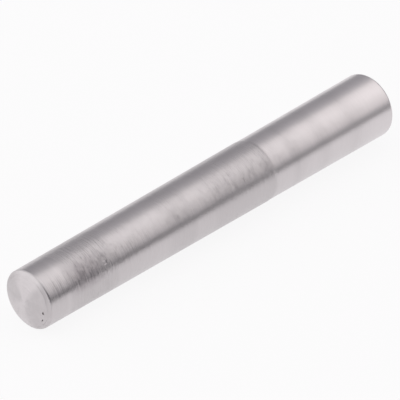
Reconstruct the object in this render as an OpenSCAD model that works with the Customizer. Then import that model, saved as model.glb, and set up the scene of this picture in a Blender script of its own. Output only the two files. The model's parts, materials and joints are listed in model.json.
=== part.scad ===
// Taper pin, turned from one bar: a shank that tapers from end to end, with a
// broken edge and a domed crown at each end. It is driven thin end first into
// a hole reamed to the same taper.
//
// The pin lies along X, thick end towards +X. The origin is the centre of the
// shank's thin end, where the nominal diameter of a taper pin is read.

/* [Shank] */
// Diameter of the shank at its thin end
thin_d = 5; // [3:0.5:16]
// Length of the shank, without its two crowns
shank_l = 40; // [28:0.5:120]
// Length over which the diameter grows by one unit of length
taper_run = 50; // [20:1:100]

/* [Crowns] */
// Height of a crown, from the end of the shank to the top of its dome
crown_h = 0.6; // [0.25:0.05:1.5]
// Width of the broken edge round a crown, along the radius
edge_w = 0.3; // [0.05:0.05:1]
// Height of the broken edge round a crown, along the pin
edge_h = 0.2; // [0.04:0.02:0.5]

/* [Second cut] */
// Distance from the thin end to where the second turning cut starts
cut_at = 25.3; // [4:0.1:38]
// How much deeper the second cut goes, on the radius
cut_depth = 0.03; // [0.01:0.01:0.1]
// Length of the run-out that leads into the second cut
cut_runout = 0.35; // [0.05:0.05:1]

/* [Hidden] */

thin_r = thin_d / 2;
growth = 1 / (2 * taper_run); // of the radius, for each unit of length
thick_r = first_cut_r(shank_l) - cut_depth;

$fn = 180;

// Radius of the first cut at a distance from the thin end
function first_cut_r(along) = thin_r + growth * along;

// Radius of the ball whose cap has this foot radius and this height
function ball_r(foot_r, height) = (foot_r * foot_r + height * height) / (2 * height);

// The half sections below have the radius along X and the pin's length along Y.

// Half section of the shank, with the shoulder where the second cut starts
module shank_section() {
    runout_end = cut_at + cut_runout;
    polygon([
        [0, 0],
        [thin_r, 0],
        [first_cut_r(cut_at), cut_at],
        [first_cut_r(runout_end) - cut_depth, runout_end],
        [thick_r, shank_l],
        [0, shank_l],
    ]);
}

// Half section of a crown that stands on the end of the shank: the broken
// edge first, then the dome, whose centre lies on the pin's axis
module crown_section(foot_r) {
    dome_foot_r = foot_r - edge_w;
    dome_h = crown_h - edge_h;
    dome_r = ball_r(dome_foot_r, dome_h);
    polygon([
        [0, 0],
        [foot_r, 0],
        [dome_foot_r, edge_h],
        [0, edge_h],
    ]);
    intersection() {
        translate([0, crown_h - dome_r])
            circle(r = dome_r);
        translate([0, edge_h])
            square([dome_foot_r, dome_h]);
    }
}

module taper_pin() {
    color([0.70, 0.69, 0.685])
        rotate([0, 90, 0])
            rotate_extrude() {
                shank_section();
                translate([0, shank_l])
                    crown_section(thick_r);
                mirror([0, 1])
                    crown_section(thin_r);
            }
}

taper_pin();
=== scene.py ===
"""A turned steel taper pin on a pale studio floor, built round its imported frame."""

import json
import math
import random

import bmesh
import bpy
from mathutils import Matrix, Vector


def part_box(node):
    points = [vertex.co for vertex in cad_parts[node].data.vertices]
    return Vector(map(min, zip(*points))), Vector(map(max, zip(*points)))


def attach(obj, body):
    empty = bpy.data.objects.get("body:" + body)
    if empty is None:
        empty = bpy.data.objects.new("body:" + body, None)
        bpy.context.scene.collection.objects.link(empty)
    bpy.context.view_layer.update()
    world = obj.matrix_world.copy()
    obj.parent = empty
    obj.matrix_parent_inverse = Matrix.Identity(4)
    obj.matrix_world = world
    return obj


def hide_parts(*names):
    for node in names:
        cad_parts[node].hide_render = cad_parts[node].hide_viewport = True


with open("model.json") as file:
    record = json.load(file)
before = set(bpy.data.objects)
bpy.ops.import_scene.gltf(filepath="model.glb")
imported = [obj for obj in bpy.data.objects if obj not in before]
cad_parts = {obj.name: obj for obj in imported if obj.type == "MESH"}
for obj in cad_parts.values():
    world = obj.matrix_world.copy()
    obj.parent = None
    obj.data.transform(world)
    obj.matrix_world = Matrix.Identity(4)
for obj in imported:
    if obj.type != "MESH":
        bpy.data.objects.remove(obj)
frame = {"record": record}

bl_info = {
    "name": "Turned Taper Pin",
    "version": (1, 0, 0),
    "blender": (4, 5, 0),
    "location": "3D View > Sidebar > Taper Pin",
    "description": "Turns a steel taper pin with its tool marks and sets a pale studio round it",
    "category": "Add Mesh",
}

MM = 0.001  # one millimetre in metres
NODE = "taper_pin"
LOW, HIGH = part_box(NODE)
SEAT = frame["record"]["mounts"][0]["dims"]  # radius of the thin end and length of the shank, in mm
THIN_RADIUS = SEAT["r_mm"] * MM
SHANK_LENGTH = SEAT["length_mm"] * MM
CROWN_HEIGHT = -LOW.x
THICK_RADIUS = HIGH.y
FLOOR_FRONT = 42 * MM  # from the pin's axis to the floor's front edge

# (direction across the pin, cosines where a sector of painted highlight on a crown starts and is full)
CROWN_HIGHLIGHT_SECTORS = (((-0.04, 1), 0.68, 1), ((0.6, -0.8), 0.4, 1))
PAINTED_SHADE_SIDE = (-0.83, 0.56)  # across the pin, towards the middle of the patch of painted shade
DARK_SIDE = (-0.2, -0.87, 0.45)  # towards a darker part of the room
ROOM_PEAK = 1.3  # brightness at the top of the room's ramp
# What the steel mirrors and the camera doesn't see, set for one view:
# (degrees from the back horizon over the ceiling to the front one, brightness)
ROOM = (
    (0, 0.5), (3, 0.44), (8, 0.38), (30, 0.41), (45, 0.48), (58, 0.6), (66, 0.78), (75, 1.16),
    (92, 1.22), (106, 1.2), (118, 1.08), (137, 0.91), (148, 0.78), (158, 0.67), (166, 0.4), (171, 0.05),
    (180, 0.03),
)
# (mm from the thin end, strength): how strong the tool marks on the shank are, from 0 to 1; they set
# relief and polish, and darken the colour, which is painted shade for the rougher bands' dimmer reflection
MARKS_AND_SHADE = (
    (0, 0.5), (1.6, 0.55), (1.9, 0.4), (2.6, 0.8), (3.4, 1), (6.6, 1), (7.3, 0.55), (12.5, 0.45),
    (13.6, 0.6), (15.6, 0.7), (16.4, 0.5), (18, 0.55), (19.5, 0.75), (21, 0.85), (22.3, 0.7),
    (23.4, 0.85), (24.2, 0.8), (24.8, 1), (25.3, 1), (25.6, 0.35), (27.4, 0.3), (28.1, 0.5),
    (29, 0.3), (30.3, 0.2), (31.6, 0.35), (32.6, 0.15), (34, 0.15), (35.3, 0.3), (36.5, 0.12),
    (38, 0), (40, 0),
)
COARSE_START = (1.8, 3.4)  # mm from the thin end, over which the coarse part of the shank begins
COARSE_END = (6.5, 12)  # mm from the thin end, over which it ends
CALM = 0.55  # share of the streaks' strength that the rest of the shank lacks
# (mm from the thin end, depth): how deep the tool rings are, as a share of the deepest
RINGS = (
    (0, 0.25), (2.4, 0.25), (3.4, 0.6), (6, 0.6), (6.8, 0.25), (21, 0.25), (25.2, 0.16),
    (25.6, 0.2), (30, 0.15), (40, 0.1),
)
# (mm from the thin end, depth in mm) of the single grooves
GROOVES = ((0.88, 0.011), (1.44, 0.009))
# (x, bearing round the pin in degrees, length, width, rim, depth) of the dents, in mm
SHANK_DENTS = ((6.19, 145, 0.26, 0.3, 0.045, 0.03), (22.07, 143.5, 0.18, 0.35, 0.012, 0.03))
# (distance from the pin's axis, bearing in degrees, width, depth) of the pits in the thin crown, in mm
CROWN_PITS = ((1.86, -172.5, 0.19, 0.1), (1.94, -150, 0.17, 0.1))


def read_table(table, x):
    """The table's value at a place along the shank, in metres, between its rows."""
    x = x / MM
    for (low, start), (high, end) in zip(table, table[1:]):
        if low <= x <= high:
            return start + (end - start) * (x - low) / (high - low)
    return table[-1][1]


def length(name, description, default, **more):
    """A length property in metres that shows well under a millimetre."""
    return bpy.props.FloatProperty(
        name=name, description=description, default=default, unit="LENGTH", precision=6, **more
    )


def share(name, description, default):
    """A property from 0 to 1."""
    return bpy.props.FloatProperty(
        name=name, description=description, default=default, min=0, max=1, subtype="FACTOR"
    )


def colour(name, description, default):
    """A linear colour property."""
    return bpy.props.FloatVectorProperty(
        name=name, description=description, default=default, size=3, min=0, max=1, subtype="COLOR"
    )


class PinShape(bpy.types.PropertyGroup):
    """Sizes of the pin's turned profile."""

    thin_radius: length("Thin radius", "Radius of the shank at its thin end", THIN_RADIUS)
    thick_radius: length("Thick radius", "Radius of the shank at its thick end", THICK_RADIUS)
    shank_length: length("Shank length", "Length of the taper without the crowns", SHANK_LENGTH)
    crown_height: length("Crown height", "From the shank's end to the dome's top", CROWN_HEIGHT)
    edge_width: length("Edge width", "Width of the broken edge along the radius", 0.3 * MM)
    edge_height: length("Edge height", "Height of the broken edge along the pin", 0.2 * MM)
    cut_at: length("Second cut", "From the thin end to the second turning cut", 25.3 * MM)
    cut_depth: length("Cut depth", "How much deeper the second cut goes", 0.03 * MM)
    cut_runout: length("Cut run-out", "Length of the lead into the second cut", 0.35 * MM)
    feed: length("Feed", "Spacing of the tool rings along the shank", 0.17 * MM)
    ring_depth: length("Ring depth", "Depth of the tool rings where they are strongest", 0.016 * MM)
    groove_width: length("Groove width", "Width of the single grooves", 0.1 * MM)
    face_feed: length("Face feed", "Spacing of the facing rings on the crowns", 0.14 * MM)
    face_ring: length("Face ring depth", "Depth of the facing rings", 0.008 * MM)
    foot_groove: length("Foot groove", "Depth of the ring round the dome's foot", 0.025 * MM)
    edge_round: length("Edge rounding", "Length of the rounding between edge and shank", 0.12 * MM)
    sides: bpy.props.IntProperty(
        name="Sides", description="Faces round the pin", default=96, min=32, max=256
    )


class PinFinish(bpy.types.PropertyGroup):
    """Colour and polish of the bare steel; the colours also hold painted shade and painted highlights."""

    # The first two colours also hold painted light: the lighter is the crowns' painted highlight, the
    # darker painted shade along the rougher bands; the third is the colour of a patch of painted shade.
    clean: colour("Clean steel", "Colour where the tool left no marks", (0.68, 0.639, 0.652))
    marked_and_shaded: colour("Marked steel", "Colour where the tool marks are strongest", (0.553, 0.52, 0.531))
    painted_shade: colour("Dull patch", "Colour of the dull patch near the thin end", (0.45, 0.415, 0.43))
    smooth: share("Smooth", "Roughness where the tool left no marks", 0.28)
    rough: share("Rough", "Roughness where the tool marks are strongest", 0.32)
    crown_marks: share("Crown marks", "Strength of the tool marks on the crowns", 1.0)
    streak_depth: length("Streak depth", "Depth of the fine streaks along the rings", 0.055 * MM)
    hair_depth: length("Hairline depth", "Depth of the hairlines between the streaks", 0.012 * MM)


class StudioSettings(bpy.types.PropertyGroup):
    """Camera, floor and light."""

    azimuth: bpy.props.FloatProperty(
        name="Azimuth", description="Camera's bearing round the pin", default=math.radians(-47.05),
        subtype="ANGLE",
    )
    elevation: bpy.props.FloatProperty(
        name="Elevation", description="Camera's height above the horizon", default=math.radians(32.45),
        subtype="ANGLE",
    )
    distance: length("Distance", "From the camera to the pin's axis", 240.1 * MM)
    aim: bpy.props.FloatVectorProperty(
        name="Aim", description="Where the camera looks at", size=3, subtype="TRANSLATION",
        default=(19.33 * MM, 0.11 * MM, 0.03 * MM), unit="LENGTH", precision=6,
    )
    lens: bpy.props.FloatProperty(name="Lens", description="Focal length in mm", default=267.84)
    floor: colour("Floor", "Colour of the floor", (0.99, 0.986, 0.99))
    left: bpy.props.FloatProperty(name="Left side", description="Light from the left", default=1.05)
    fill: bpy.props.FloatProperty(name="Fill", description="Brightness of the fill strip", default=0.3)
    right: bpy.props.FloatProperty(name="Right side", description="Light from the right", default=0.25)


class Socket:
    """A shader value. Python's arithmetic on it adds Math nodes."""

    def __init__(self, board, link):
        self.board, self.link = board, link

    def math(self, operation, *others):
        return self.board.node("ShaderNodeMath", {"operation": operation}, [self, *others])

    def __add__(self, other):
        return self.math("ADD", other)

    def __radd__(self, other):
        return self.math("ADD", other)

    def __sub__(self, other):
        return self.math("SUBTRACT", other)

    def __rsub__(self, other):
        return self.board.node("ShaderNodeMath", {"operation": "SUBTRACT"}, [other, self])

    def __mul__(self, other):
        return self.math("MULTIPLY", other)

    def __rmul__(self, other):
        return self.math("MULTIPLY", other)

    def __truediv__(self, other):
        return self.math("DIVIDE", other)

    def __neg__(self):
        return self.math("MULTIPLY", -1)

    def __abs__(self):
        return self.math("ABSOLUTE")


class Board:
    """The node tree of one material or world, with one method that adds any node."""

    def __init__(self, owner):
        owner.use_nodes = True
        self.tree = owner.node_tree
        self.tree.nodes.clear()

    def node(self, kind, settings=None, inputs=(), output=0):
        """Adds a node: its settings first, then its sockets' values or links."""
        made = self.tree.nodes.new(kind)
        for name, value in (settings or {}).items():
            if name == "stops":
                self.set_stops(made.color_ramp, value)
            else:
                setattr(made, name, value)
        pairs = inputs.items() if isinstance(inputs, dict) else enumerate(inputs)
        for name, value in pairs:
            if isinstance(value, Socket):
                self.tree.links.new(value.link, made.inputs[name])
            elif value is not None:
                made.inputs[name].default_value = value
        return Socket(self, made.outputs[output]) if made.outputs else made

    def set_stops(self, ramp, stops):
        while len(ramp.elements) < len(stops):
            ramp.elements.new(1)
        for element, (position, value) in zip(ramp.elements, stops):
            element.position = position
            element.color = (value, value, value, 1)

    def rise(self, value, low, high):
        """0 below low and 1 above high, smooth between."""
        return self.node(
            "ShaderNodeMapRange",
            {"interpolation_type": "SMOOTHSTEP"},
            {"Value": value, "From Min": low, "From Max": high},
        )

    def split(self, vector):
        made = self.tree.nodes.new("ShaderNodeSeparateXYZ")
        self.tree.links.new(vector.link, made.inputs[0])
        return [Socket(self, made.outputs[i]) for i in range(3)]

    def join(self, x, y, z):
        return self.node("ShaderNodeCombineXYZ", inputs=[x, y, z])

    def noise(self, place, scale, detail=2.0, roughness=0.5):
        return self.node(
            "ShaderNodeTexNoise",
            {"noise_dimensions": "3D"},
            {"Vector": place, "Scale": scale, "Detail": detail, "Roughness": roughness},
        )

    def pick(self, factor, low, high):
        """The number low where the factor is 0 and high where it is 1."""
        return self.node("ShaderNodeMix", {"data_type": "FLOAT"}, {0: factor, 2: low, 3: high})

    def mix(self, factor, low, high):
        """Colour low where the factor is 0 and colour high where it is 1."""
        sockets = {0: factor, 6: low, 7: high}
        return self.node("ShaderNodeMix", {"data_type": "RGBA"}, sockets, output=2)


def streak_strength(board, x, on_crown):
    """How strong the streaks are: full on the crowns and on the coarse part near the thin end."""
    coarse = board.rise(x, *COARSE_START) - board.rise(x, *COARSE_END)
    return 1 - CALM * (1 - coarse) * (1 - on_crown)


def tool_relief(board, finish, across, y, z, torn, strength):
    """The pattern of the streaks along the rings, and normals of them and of the hairlines between."""
    streaks = board.noise(board.join(across * 6, y * 0.8, z * 0.8), 1.0, 2.0, 0.6) - 0.5
    hair = board.noise(board.join(across * 30, y, z), 1.0, 1.0, 0.5) - 0.5
    relief = (streaks * strength * finish.streak_depth + hair * finish.hair_depth) * torn
    bump = board.node("ShaderNodeBump", inputs={"Strength": 1.0, "Distance": 1.0, "Height": relief})
    return streaks, bump


def crown_tone_and_highlight(board, y, z, radius, streaks):
    """The crowns' tone: fans of facing marks with two brighter sectors, which are painted highlight
    standing in for the facing marks' reflection.
    """
    painted_lit = 0
    for (side_y, side_z), start, end in CROWN_HIGHLIGHT_SECTORS:
        facing = (y * side_y + z * side_z) / (radius + 0.01)
        painted_lit = board.rise(facing, start, end).math("MAXIMUM", painted_lit)
    spokes = board.noise(board.join(radius, y / (radius + 0.2) * 3, z / (radius + 0.2) * 3), 1.0) - 0.5
    return ((1 - painted_lit) * 0.9 + spokes) * board.rise(radius, 0, 0.6) + streaks * 0.4


def painted_shade_patch(board, x, y, z, radius, mottle):
    """Painted shade: how much darker the shank's colour is in a mottled patch on one side near its thin
    end.
    """
    side_y, side_z = PAINTED_SHADE_SIDE
    facing = board.rise((y * side_y + z * side_z) / (radius + 0.01), 0.83, 0.98)
    return facing * board.rise(x, 1.8, 3.8) * (1 - board.rise(x, 4.2, 6.5)) * mottle


def steel_finish(finish, shape):
    """Bare steel as turned: rings round the shank, facing marks on the crowns. Its colour holds painted
    shade along the rougher bands and in a patch near the thin end, and painted highlights on the crowns.
    """
    material = bpy.data.materials.new("turned_steel")
    board = Board(material)
    place = board.node("ShaderNodeTexCoord", output=3)
    x, y, z = (axis / MM for axis in board.split(place))
    radius = (y * y + z * z).math("SQRT")
    length_mm = shape.shank_length / MM
    stops = [(at / length_mm, strength) for at, strength in MARKS_AND_SHADE]
    marks = board.node("ShaderNodeValToRGB", {"stops": stops}, [x / length_mm])
    patches = board.noise(board.join(x * 1.8, y * 0.9, z * 0.9), 1.0, 2.0, 0.6)
    patchy = 0.7 + 0.6 * board.rise(patches, 0.25, 0.75)
    on_crown = board.rise(abs(x - length_mm / 2), length_mm / 2 - 0.01, length_mm / 2 + 0.01)
    torn = board.pick(on_crown, (0.15 + marks) * patchy, finish.crown_marks)
    across = board.pick(on_crown, x, radius)
    strength = streak_strength(board, x, on_crown)
    streaks, bump = tool_relief(board, finish, across, y, z, torn, strength)
    # Painted shade on the shank: the colour darkens where the tool marks are strong, standing in for the
    # rougher bands' dimmer reflection; the streaks add random tone.
    shank_tone = (marks * 1.5).math("MINIMUM", 1) + streaks * 0.4
    # On the crowns the tone holds two sectors of painted highlight.
    tone = board.pick(on_crown, shank_tone, crown_tone_and_highlight(board, y, z, radius, streaks))
    steel = board.mix(tone, (*finish.clean, 1), (*finish.marked_and_shaded, 1))
    # Painted shade: a darker, mottled patch on one side of the shank near the thin end.
    painted_shade = painted_shade_patch(board, x, y, z, radius, patchy + streaks * 1.5)
    steel = board.mix(painted_shade, steel, (*finish.painted_shade, 1))
    rough = finish.smooth + marks * (finish.rough - finish.smooth)
    shader = board.node(
        "ShaderNodeBsdfPrincipled",
        inputs={"Base Color": steel, "Metallic": 1.0, "Roughness": rough, "Normal": bump},
    )
    board.node("ShaderNodeOutputMaterial", inputs={"Surface": shader})
    return material


def ball_radius(foot, height):
    """Radius of the ball whose cap has this foot radius and this height."""
    return (foot * foot + height * height) / (2 * height)


def crown_profile(foot, shape, seed):
    """(height above the shank's end, radius) from a crown's top down to its broken edge."""
    dice = random.Random(seed)
    cap_foot = foot - shape.edge_width
    cap_height = shape.crown_height - shape.edge_height
    ball = ball_radius(cap_foot, cap_height)
    count = round(cap_foot / shape.face_feed)
    points = [(shape.crown_height, 0.0)]
    for i in range(count):
        radius = cap_foot * (i + 0.5 + dice.uniform(-0.12, 0.12)) / count
        drop = ball - math.sqrt(ball * ball - radius * radius)
        depth = shape.face_ring * dice.uniform(0.4, 1)
        points.append((shape.crown_height - drop - depth, radius))
        radius = cap_foot * (i + 1) / count
        drop = ball - math.sqrt(ball * ball - radius * radius)
        points.append((shape.crown_height - drop, radius))
    rise = 0.03 * MM
    drop = ball - math.sqrt(ball * ball - (cap_foot - rise) ** 2)
    points[-1:] = [
        (shape.crown_height - drop, cap_foot - rise),
        (shape.edge_height - shape.foot_groove, cap_foot),
    ]
    slope = shape.edge_height / shape.edge_width
    points.append((shape.edge_height - slope * rise, cap_foot + rise))
    return points


def shank_radius(shape, x):
    """Radius of the shank at a distance from its thin end, without tool rings."""
    runout_end = shape.cut_at + shape.cut_runout
    growth = (shape.thick_radius + shape.cut_depth - shape.thin_radius) / shape.shank_length
    first = shape.thin_radius + growth * x
    step = min(max((x - shape.cut_at) / shape.cut_runout, 0), 1)
    return first - shape.cut_depth * step * (2 - step)


def shank_profile(shape):
    """(x, radius) along the shank from the thin end, a crest and a valley to each tool ring."""
    dice = random.Random(4)
    count = round(shape.shank_length / shape.feed)
    points = []
    for i in range(count):
        x = shape.shank_length * (i + 0.38 + dice.uniform(-0.15, 0.15)) / count
        depth = shape.ring_depth * read_table(RINGS, x) * dice.uniform(0.5, 1)
        points.append((x, shank_radius(shape, x) - depth))
        x = shape.shank_length * (i + 1) / count
        points.append((x, shank_radius(shape, x)))
    for place, depth in GROOVES:
        points = cut_groove(points, place * MM, depth * MM, shape)
    return points


def cut_groove(points, place, depth, shape):
    """The profile with its rings taken out round a place and one deep groove cut there."""
    half = shape.groove_width / 2
    kept = [point for point in points if abs(point[0] - place) > half * 1.4]
    for x, drop in ((place - half, 0), (place, depth), (place + half, 0)):
        kept.append((x, shank_radius(shape, x) - drop))
    return sorted(kept)


def edge_points(foot, rim, shape):
    """(height above the shank's end, radius) of the rounded corner between edge and shank."""
    round_off = shape.edge_round
    run = math.hypot(shape.edge_width, shape.edge_height)
    slide = (shape.edge_width / run, shape.edge_height / run)
    start = (round_off * slide[1], foot - round_off * slide[0])
    end = (-round_off, rim)
    corner = (0, foot)
    points = []
    for i in range(6):
        t = i / 5
        weights = ((1 - t) ** 2, 2 * t * (1 - t), t ** 2)
        points.append(tuple(sum(w * p[k] for w, p in zip(weights, (start, corner, end))) for k in (0, 1)))
    return points


def pin_profile(shape):
    """(x, radius) all the way from the top of the thin crown to the top of the thick one."""
    end = shape.shank_length
    near = shank_radius(shape, shape.edge_round)
    far = shank_radius(shape, end - shape.edge_round)
    thin = crown_profile(shape.thin_radius, shape, 1) + edge_points(shape.thin_radius, near, shape)
    thick = crown_profile(shape.thick_radius, shape, 2) + edge_points(shape.thick_radius, far, shape)
    shank = [p for p in shank_profile(shape) if shape.edge_round < p[0] < end - shape.edge_round]
    return [(-h, r) for h, r in thin] + shank + [(end + h, r) for h, r in thick[::-1]]


def deselect_all():
    if bpy.context.object and bpy.context.object.mode != "OBJECT":
        bpy.ops.object.mode_set(mode="OBJECT")
    bpy.ops.object.select_all(action="DESELECT")


def turn_on_lathe(name, profile, sides):
    """A closed solid of revolution about X: the profile is drawn point by point, then spun."""
    deselect_all()
    start = Vector((profile[0][0], 0, profile[0][1]))
    bpy.ops.mesh.primitive_plane_add(size=MM, location=(0, 0, 0))
    piece = bpy.context.object
    piece.name = piece.data.name = name
    bpy.ops.object.mode_set(mode="EDIT")
    bpy.ops.mesh.merge(type="CENTER")
    bpy.ops.transform.translate(value=start)
    here = start
    for x, radius in profile[1:]:
        there = Vector((x, 0, radius))
        bpy.ops.mesh.extrude_region_move(TRANSFORM_OT_translate={"value": there - here})
        here = there
    bpy.ops.mesh.select_all(action="SELECT")
    bpy.ops.mesh.spin(steps=sides, angle=2 * math.pi, center=(0, 0, 0), axis=(1, 0, 0))
    bpy.ops.mesh.select_all(action="SELECT")
    bpy.ops.mesh.remove_doubles(threshold=MM * 1e-4)
    bpy.ops.mesh.normals_make_consistent(inside=False)
    bpy.ops.object.mode_set(mode="OBJECT")
    return piece


def mark_crests(piece, crests):
    """Sharp edges along the cusps between tool rings, found by their place and radius."""
    bpy.ops.object.mode_set(mode="EDIT")
    bpy.ops.mesh.select_mode(type="EDGE")
    bpy.ops.mesh.select_all(action="DESELECT")
    shell = bmesh.from_edit_mesh(piece.data)
    step = 0.006 * MM
    near = (-1, 0, 1)
    cells = {(round(x / step) + i, round(r / step) + j) for x, r in crests for i in near for j in near}
    for edge in shell.edges:
        ends = [(v.co.x, math.hypot(v.co.y, v.co.z)) for v in edge.verts]
        around = max(abs(a - b) for a, b in zip(*ends)) < step / 20
        edge.select_set(around and (round(ends[0][0] / step), round(ends[0][1] / step)) in cells)
    bmesh.update_edit_mesh(piece.data)
    bpy.ops.mesh.mark_sharp()
    bpy.ops.object.mode_set(mode="OBJECT")


def crest_places(shape):
    """(x, radius) of the cusps between the rings, on the shank and on both crowns."""
    count = round(shape.shank_length / shape.feed)
    spots = [shape.shank_length * (i + 1) / count for i in range(count)]
    shank = [(x, shank_radius(shape, x)) for x in spots]
    thin = [(-h, r) for h, r in crown_profile(shape.thin_radius, shape, 1)[2:-3:2]]
    end = shape.shank_length
    thick = [(end + h, r) for h, r in crown_profile(shape.thick_radius, shape, 2)[2:-3:2]]
    return shank + thin + thick


def sink(piece, middle, long, wide, rim, depth):
    """A small dent: the faces round a place are inset by the rim's width and pushed inward."""
    bpy.ops.object.mode_set(mode="EDIT")
    bpy.ops.mesh.select_mode(type="FACE")
    bpy.ops.mesh.select_all(action="DESELECT")
    shell = bmesh.from_edit_mesh(piece.data)
    for face in shell.faces:
        away = face.calc_center_median() - middle
        face.select_set(abs(away.x) < long / 2 and math.hypot(away.y, away.z) < wide / 2)
    bmesh.update_edit_mesh(piece.data)
    bpy.ops.mesh.inset(thickness=rim, depth=-depth)
    bpy.ops.object.mode_set(mode="OBJECT")


def on_pin(x, radius, bearing):
    """The point at a distance along the pin, a radius and a bearing in degrees from +Y over +Z."""
    turn = math.radians(bearing)
    return Vector((x, radius * math.cos(turn), radius * math.sin(turn)))


def wear(piece, shape):
    """Two nicks in the shank and two pits in the thin crown."""
    for x, bearing, long, wide, rim, depth in SHANK_DENTS:
        middle = on_pin(x * MM, shank_radius(shape, x * MM), bearing)
        sink(piece, middle, long * MM, wide * MM, rim * MM, depth * MM)
    for radius, bearing, wide, depth in CROWN_PITS:
        cap_height = shape.crown_height - shape.edge_height
        ball = ball_radius(shape.thin_radius - shape.edge_width, cap_height)
        drop = ball - math.sqrt(ball * ball - (radius * MM) ** 2)
        middle = on_pin(drop - shape.crown_height, radius * MM, bearing)
        sink(piece, middle, 0.2 * MM, wide * MM, 0.012 * MM, depth * MM)


class PIN_OT_turn(bpy.types.Operator):
    """Turn the taper pin with its crowns, second cut and tool rings"""

    bl_idname = "taper_pin.turn"
    bl_label = "Turn the pin"

    def execute(self, context):
        shape = context.scene.pin_shape
        pin = turn_on_lathe("turned_pin", pin_profile(shape), shape.sides)
        mark_crests(pin, crest_places(shape))
        wear(pin, shape)
        bpy.ops.object.shade_smooth_by_angle(angle=math.radians(25), keep_sharp_edges=True)
        pin.data.materials.append(steel_finish(context.scene.pin_finish, shape))
        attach(pin, "root")
        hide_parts(NODE)
        return {"FINISHED"}


def camera_side(studio):
    """Direction from the pin to the camera."""
    return Vector((
        math.sin(studio.azimuth) * math.cos(studio.elevation),
        -math.cos(studio.azimuth) * math.cos(studio.elevation),
        math.sin(studio.elevation),
    ))


def place_camera(studio):
    """A long lens that looks down at the pin from the thin end's side."""
    back = camera_side(studio)
    bpy.ops.object.camera_add(location=Vector(studio.aim) + back * studio.distance)
    camera = bpy.context.object
    camera.rotation_euler = (-back).to_track_quat("-Z", "Y").to_euler()
    camera.data.lens = studio.lens
    camera.data.clip_start = 10 * MM
    bpy.context.scene.camera = camera


def floor_finish(studio):
    """Plain and pale to the camera and in the steel; it keeps a little of the pin's shadow."""
    material = bpy.data.materials.new("pale_floor")
    board = Board(material)
    camera_ray = board.node("ShaderNodeLightPath", output=0)
    glossy_ray = board.node("ShaderNodeLightPath", output=3)
    through_ray = board.node("ShaderNodeLightPath", output=6)
    seen = camera_ray.math("MAXIMUM", glossy_ray).math("MAXIMUM", through_ray)
    matt = board.node("ShaderNodeBsdfDiffuse", inputs={"Color": (*studio.floor, 1)})
    glow = board.node("ShaderNodeEmission", inputs={"Color": (*studio.floor, 1), "Strength": 1.0})
    both = board.node("ShaderNodeMixShader", inputs=[seen * 0.9, matt, glow])
    board.node("ShaderNodeOutputMaterial", inputs={"Surface": both})
    return material


def lay_floor(studio, shape):
    """A pale floor along the shank's underside; past its front edge the steel mirrors the dark room."""
    slope = math.atan((shape.thick_radius + shape.cut_depth - shape.thin_radius) / shape.shank_length)
    bpy.ops.mesh.primitive_plane_add(
        size=3, location=(0, 0, -shape.thin_radius), rotation=(0, slope, 0)
    )
    floor = bpy.context.object
    bpy.ops.transform.translate(value=(0, 1.5 - FLOOR_FRONT, 0))
    floor.name = "studio_floor"
    floor.data.materials.append(floor_finish(studio))


def hang_fill_lamp(studio):
    """A weak strip lamp, hidden from the camera, that softens the dark line on the thick half."""
    middle = Vector((140 * MM, -85 * MM, 8 * MM))
    bpy.ops.object.light_add(type="AREA", location=middle)
    lamp = bpy.context.object
    lamp.name = "fill_strip"
    lamp.rotation_euler = (math.radians(90), 0, 0)
    lamp.data.shape = "RECTANGLE"
    lamp.data.size = 130 * MM
    lamp.data.size_y = 22 * MM
    lamp.data.energy = studio.fill * math.pi * lamp.data.size * lamp.data.size_y
    lamp.visible_camera = False


def room_light(board, studio, place):
    """The room's brightness in each direction: walls, a bright ceiling along the pin, two sides."""
    x, y, z = board.split(place)
    turn = z.math("ARCTAN2", y) / math.pi
    turn = turn + (turn.math("LESS_THAN", -0.5)) * 2
    stops = [(degrees / 180, light / ROOM_PEAK) for degrees, light in ROOM]
    skew = 0.06 * (1 - board.rise(x, 0.575, 0.615)) * (1 - board.rise(turn, 0.45, 0.7))
    light = board.node("ShaderNodeValToRGB", {"stops": stops}, [turn - skew]) * ROOM_PEAK
    light = light + 0.35 * (1 - board.rise(x, 0.58, 0.63)) * (1 - board.rise(turn, 0, 0.06))
    light = light * (1 + 0.45 * board.rise(x, 0.6, 0.66) * board.rise(turn, 0.45, 0.8))
    light = light * (1 + 0.35 * board.rise(x, 0.652, 0.665) * board.rise(turn, 0.78, 0.9))
    left = studio.left * (1 - 0.25 * board.rise(-y, -0.1, 0.5))
    light = light + (1 - board.rise(x, -0.1, 0.52)) * (left - light)
    light = light + board.rise(x, 0.72, 0.92) * (studio.right - light)
    toward = board.node("ShaderNodeVectorMath", {"operation": "DOT_PRODUCT"}, [place, DARK_SIDE], output=1)
    light = light * (1 - 0.8 * board.rise(toward, 0.76, 0.93))
    return x, light


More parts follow.
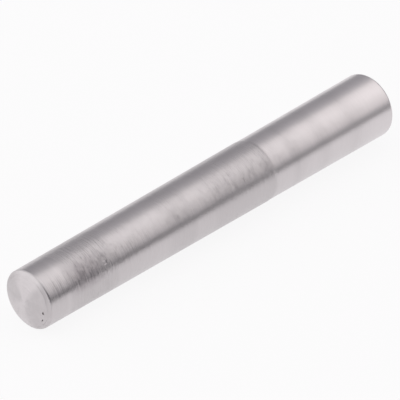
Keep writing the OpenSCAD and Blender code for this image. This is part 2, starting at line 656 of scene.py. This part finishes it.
def light_room(studio):
    """Grey walls and a bright ceiling for the steel; the camera alone sees a plain backdrop."""
    world = bpy.data.worlds.new("studio_room")
    bpy.context.scene.world = world
    board = Board(world)
    place = board.node("ShaderNodeTexCoord", output=0)
    x, light = room_light(board, studio, place)
    camera_ray = board.node("ShaderNodeLightPath", output=0)
    tint = board.mix(board.rise(light, 0.3, 0.9), (0.99, 0.98, 1.03, 1), (1, 1, 1, 1))
    tint = board.mix(board.rise(x, 0.64, 0.66) * board.rise(light, 0.6, 1), tint, (1.03, 0.99, 0.97, 1))
    room = board.node("ShaderNodeBackground", inputs={"Color": tint, "Strength": light})
    plain = board.node("ShaderNodeBackground", inputs={"Color": (*studio.floor, 1), "Strength": 1.0})
    both = board.node("ShaderNodeMixShader", inputs=[camera_ray, room, plain])
    board.node("ShaderNodeOutputWorld", inputs={"Surface": both})


class PIN_OT_stage(bpy.types.Operator):
    """Set the camera, the pale floor and the soft light"""

    bl_idname = "taper_pin.stage"
    bl_label = "Set the studio"

    def execute(self, context):
        studio = context.scene.pin_studio
        deselect_all()
        place_camera(studio)
        lay_floor(studio, context.scene.pin_shape)
        light_room(studio)
        hang_fill_lamp(studio)
        context.scene.view_settings.view_transform = "Standard"
        return {"FINISHED"}


class PIN_PT_panel(bpy.types.Panel):
    """Sizes, finish and studio of the taper pin"""

    bl_label = "Taper Pin"
    bl_idname = "PIN_PT_panel"
    bl_space_type = "VIEW_3D"
    bl_region_type = "UI"
    bl_category = "Taper Pin"

    def draw(self, context):
        for group in (context.scene.pin_shape, context.scene.pin_finish, context.scene.pin_studio):
            box = self.layout.box()
            for name in group.bl_rna.properties.keys():
                if name not in ("rna_type", "name"):
                    box.prop(group, name)
        self.layout.operator(PIN_OT_turn.bl_idname)
        self.layout.operator(PIN_OT_stage.bl_idname)


CLASSES = (PinShape, PinFinish, StudioSettings, PIN_OT_turn, PIN_OT_stage, PIN_PT_panel)


def register():
    for cls in CLASSES:
        bpy.utils.register_class(cls)
    bpy.types.Scene.pin_shape = bpy.props.PointerProperty(type=PinShape)
    bpy.types.Scene.pin_finish = bpy.props.PointerProperty(type=PinFinish)
    bpy.types.Scene.pin_studio = bpy.props.PointerProperty(type=StudioSettings)


def unregister():
    del bpy.types.Scene.pin_studio
    del bpy.types.Scene.pin_finish
    del bpy.types.Scene.pin_shape
    for cls in reversed(CLASSES):
        bpy.utils.unregister_class(cls)


def main():
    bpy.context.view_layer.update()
    register()
    bpy.ops.taper_pin.turn()
    bpy.ops.taper_pin.stage()


if __name__ == "__main__":
    main()
